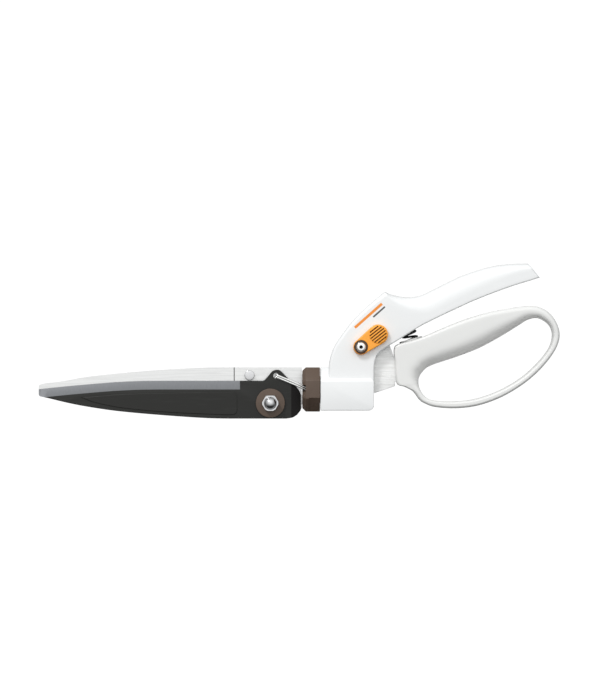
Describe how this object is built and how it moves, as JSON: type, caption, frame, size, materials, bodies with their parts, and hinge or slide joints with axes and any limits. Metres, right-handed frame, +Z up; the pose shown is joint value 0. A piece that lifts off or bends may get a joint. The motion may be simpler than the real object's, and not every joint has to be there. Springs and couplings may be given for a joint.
{
  "type": "grass shears",
  "caption": "Hand-held grass shears: squeezing the handles works long shearing blades, and the blade head swivels about its long axis.",
  "frame": {"origin": "centre of the box that holds the whole tool with its blades shut and handles locked", "axes": "+X from the blades to the handles along the swivel axis, +Y away from the side that carries the lock lever and pivot nut, +Z up, from the lower handle to the upper handle"},
  "size_m": [0.3446, 0.031, 0.1024],
  "materials": {
    "white_plastic": "smooth white moulded plastic",
    "grey_plastic": "smooth pale grey moulded plastic",
    "arm_plastic": "pale plastic with a fine ribbed face",
    "brown_plastic": "dark brown plastic",
    "dark_brown_plastic": "dark brown plastic",
    "orange_plastic": "orange plastic with moulded ridges",
    "brushed_steel": "steel brushed along the blade",
    "black_coating": "black non-stick coating, ground edge bare",
    "plated_steel": "bright plated steel",
    "wire_steel": "bright drawn wire",
    "spring_steel": "black oxide"
  },
  "bodies": {
    "housing": {"housing_front": "white_plastic", "housing_back": "white_plastic", "handle_pivot_pin": "plated_steel", "return_spring": "spring_steel", "housing_screw_1": "plated_steel", "housing_screw_2": "plated_steel", "housing_screw_3": "plated_steel", "housing_screw_4": "plated_steel", "housing_screw_5": "plated_steel"},
    "head": {"swivel_collar": "brown_plastic", "wave_washer": "plated_steel", "fixed_blade": "brushed_steel", "stop_pin": "plated_steel", "pivot_bolt": "plated_steel", "pivot_nut": "plated_steel", "front_washer": "brown_plastic", "back_washer": "plated_steel"},
    "blade": {"moving_blade": "black_coating"},
    "pull_rod": {"drive_rod": "plated_steel", "rod_pin": "plated_steel", "link_wire": "wire_steel"},
    "lower_handle": {"drive_arm": "arm_plastic", "lower_grip": "grey_plastic"},
    "lock": {"lock_lever": "orange_plastic", "lock_washer": "dark_brown_plastic", "lock_screw": "plated_steel", "lock_cam": "plated_steel"}
  },
  "joints": [
    {"name": "lower_handle", "type": "hinge", "parent": "housing", "child": "lower_handle", "pos_m": [0.0483, 0.00095, -0.0039], "axis": [0, 1, 0], "range_deg": [0, 16.5], "deforming": ["return_spring"]},
    {"name": "head_swivel", "type": "hinge", "parent": "housing", "child": "head", "pos_m": [0.01425, 0.00095, -0.03195], "axis": [1, 0, 0], "continuous": true},
    {"name": "blade", "type": "hinge", "parent": "head", "child": "blade", "pos_m": [-0.01885, 0.00095, -0.04095], "axis": [0, -1, 0], "range_deg": [0, 27.5]},
    {"name": "pull_rod", "type": "slide", "parent": "head", "child": "pull_rod", "axis": [-1, 0, 0], "range_m": [0, 0.0088]},
    {"name": "lock_lever", "type": "hinge", "parent": "housing", "child": "lock", "pos_m": [0.04095, 0.00095, -0.0039], "axis": [0, -1, 0], "range_deg": [0, 40]}
  ],
  "couplings": [
    {"joint": "blade", "follows": "lower_handle", "ratio": 1.6667},
    {"joint": "pull_rod", "follows": "lower_handle", "m_per_rad": 0.0305}
  ]
}
